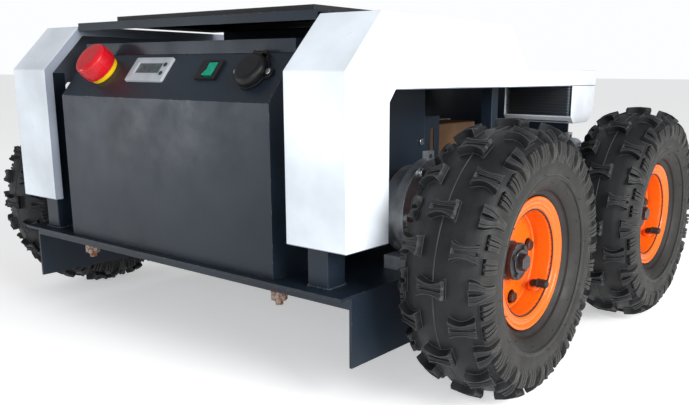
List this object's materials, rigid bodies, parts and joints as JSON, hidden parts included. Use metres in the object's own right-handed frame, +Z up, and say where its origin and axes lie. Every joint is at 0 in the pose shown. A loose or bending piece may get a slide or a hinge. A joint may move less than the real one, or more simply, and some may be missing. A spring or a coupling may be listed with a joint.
{
  "type": "four-wheel robot chassis",
  "caption": "Four-wheel outdoor robot chassis: knobby pneumatic tyres on dished rims, folded steel body with a sloped control panel, arched side covers, hinged lid and rear deck.",
  "frame": {"origin": "ground level under the middle of the chassis", "axes": "+Z up, the control panel faces -Y, wheels turn about X, +X is the right-hand side as seen in the picture"},
  "size_m": [0.782, 0.644, 0.3785],
  "materials": {
    "body_paint": "satin powder coat",
    "cover_paint": "gloss powder coat",
    "lid_paint": "satin powder coat",
    "tyre_rubber": "moulded rubber",
    "tube_rubber": "smooth rubber",
    "rim_paint": "gloss paint",
    "hub_black": "satin paint",
    "shaft_steel": "turned",
    "wheel_bolt_black": "black oxide",
    "gearbox_cast": "as cast",
    "gearbox_plate": "machined",
    "motor_black": "satin paint",
    "screw_steel": "zinc plated",
    "bolt_rusty": "rusty",
    "fin_black": "anodised",
    "pod_paint": "gloss powder coat",
    "hinge_steel": "zinc plated",
    "buffer_rubber": "matt",
    "button_red": "gloss",
    "collar_yellow": "gloss",
    "plunger_black": "matt",
    "contact_grey": "matt",
    "meter_grey": "satin",
    "screen_dark": "gloss",
    "meter_button": "matt",
    "rocker_black": "gloss",
    "rocker_green": "lit lens",
    "socket_black": "gloss",
    "cap_black": "satin",
    "battery_wrap": "shrink wrap",
    "strap_steel": "zinc plated",
    "driver_alu": "anodised",
    "board_green": "solder mask"
  },
  "bodies": {
    "chassis": {"base_plate": "body_paint", "front_box": "body_paint", "control_panel": "body_paint", "roof_and_rear_wall": "body_paint", "rear_deck": "body_paint", "slotted_brackets": "body_paint", "front_posts": "body_paint", "rear_posts": "body_paint", "cover_right": "cover_paint", "cover_left": "cover_paint", "pod_shells": "pod_paint", "pod_fins": "fin_black", "lid_hinges": "hinge_steel", "lid_buffers": "buffer_rubber", "estop_body": "collar_yellow", "estop_contacts": "contact_grey", "meter_case": "meter_grey", "meter_screen": "screen_dark", "rocker_case": "rocker_black", "socket_body": "socket_black", "battery_pack": "battery_wrap", "battery_straps": "strap_steel", "motor_drivers": "driver_alu", "control_board": "board_green", "plate_bolts": "bolt_rusty", "machine_screws": "screw_steel", "gearbox_housings": "gearbox_cast", "gearbox_covers": "gearbox_plate", "motors": "motor_black"},
    "lid": {"top_lid": "lid_paint"},
    "stop_plunger": {"estop_plunger": "plunger_black"},
    "stop_head": {"estop_button": "button_red"},
    "meter_key_up": {"meter_button_up": "meter_button"},
    "meter_key_down": {"meter_button_down": "meter_button"},
    "power_rocker": {"rocker_switch": "rocker_green"},
    "charge_cap": {"socket_cap": "cap_black"},
    "wheel_fr": {"tyre_fr": "tyre_rubber", "inner_tube_fr": "tube_rubber", "rim_fr": "rim_paint", "hub_fr": "hub_black", "shaft_fr": "shaft_steel", "wheel_bolts_fr": "wheel_bolt_black"},
    "wheel_fl": {"tyre_fl": "tyre_rubber", "inner_tube_fl": "tube_rubber", "rim_fl": "rim_paint", "hub_fl": "hub_black", "shaft_fl": "shaft_steel", "wheel_bolts_fl": "wheel_bolt_black"},
    "wheel_rr": {"tyre_rr": "tyre_rubber", "inner_tube_rr": "tube_rubber", "rim_rr": "rim_paint", "hub_rr": "hub_black", "shaft_rr": "shaft_steel", "wheel_bolts_rr": "wheel_bolt_black"},
    "wheel_rl": {"tyre_rl": "tyre_rubber", "inner_tube_rl": "tube_rubber", "rim_rl": "rim_paint", "hub_rl": "hub_black", "shaft_rl": "shaft_steel", "wheel_bolts_rl": "wheel_bolt_black"}
  },
  "joints": [
    {"name": "wheel_fr_spin", "type": "hinge", "parent": "chassis", "child": "wheel_fr", "pos_m": [0.347, -0.165, 0.137], "axis": [1, 0, 0], "continuous": true},
    {"name": "wheel_fl_spin", "type": "hinge", "parent": "chassis", "child": "wheel_fl", "pos_m": [-0.347, -0.165, 0.137], "axis": [1, 0, 0], "continuous": true},
    {"name": "wheel_rr_spin", "type": "hinge", "parent": "chassis", "child": "wheel_rr", "pos_m": [0.347, 0.175, 0.137], "axis": [1, 0, 0], "continuous": true},
    {"name": "wheel_rl_spin", "type": "hinge", "parent": "chassis", "child": "wheel_rl", "pos_m": [-0.347, 0.175, 0.137], "axis": [1, 0, 0], "continuous": true},
    {"name": "lid_hinge", "type": "hinge", "parent": "chassis", "child": "lid", "pos_m": [0, -0.066, 0.3733], "axis": [-1, 0, 0], "range_deg": [0, 80]},
    {"name": "stop_press", "type": "slide", "parent": "chassis", "child": "stop_plunger", "axis": [0, 0.7782, -0.628], "range_m": [0, 0.004]},
    {"name": "stop_twist", "type": "hinge", "parent": "stop_plunger", "child": "stop_head", "pos_m": [-0.117, -0.28939, 0.31352], "axis": [0, -0.7782, 0.628], "range_deg": [-35, 0], "stiffness_Nm_per_rad": 0.05},
    {"name": "meter_key_up_press", "type": "slide", "parent": "chassis", "child": "meter_key_up", "axis": [0, 0.7782, -0.628], "range_m": [0, 0.0008], "stiffness_N_per_m": 500},
    {"name": "meter_key_down_press", "type": "slide", "parent": "chassis", "child": "meter_key_down", "axis": [0, 0.7782, -0.628], "range_m": [0, 0.0008], "stiffness_N_per_m": 500},
    {"name": "power_rocker_tip", "type": "hinge", "parent": "chassis", "child": "power_rocker", "pos_m": [0.0675, -0.28845, 0.31468], "axis": [1, 0, 0], "range_deg": [0, 12]},
    {"name": "charge_cap_hinge", "type": "hinge", "parent": "chassis", "child": "charge_cap", "pos_m": [0.134, -0.28143, 0.33215], "axis": [-1, 0, 0], "range_deg": [0, 100]}
  ]
}
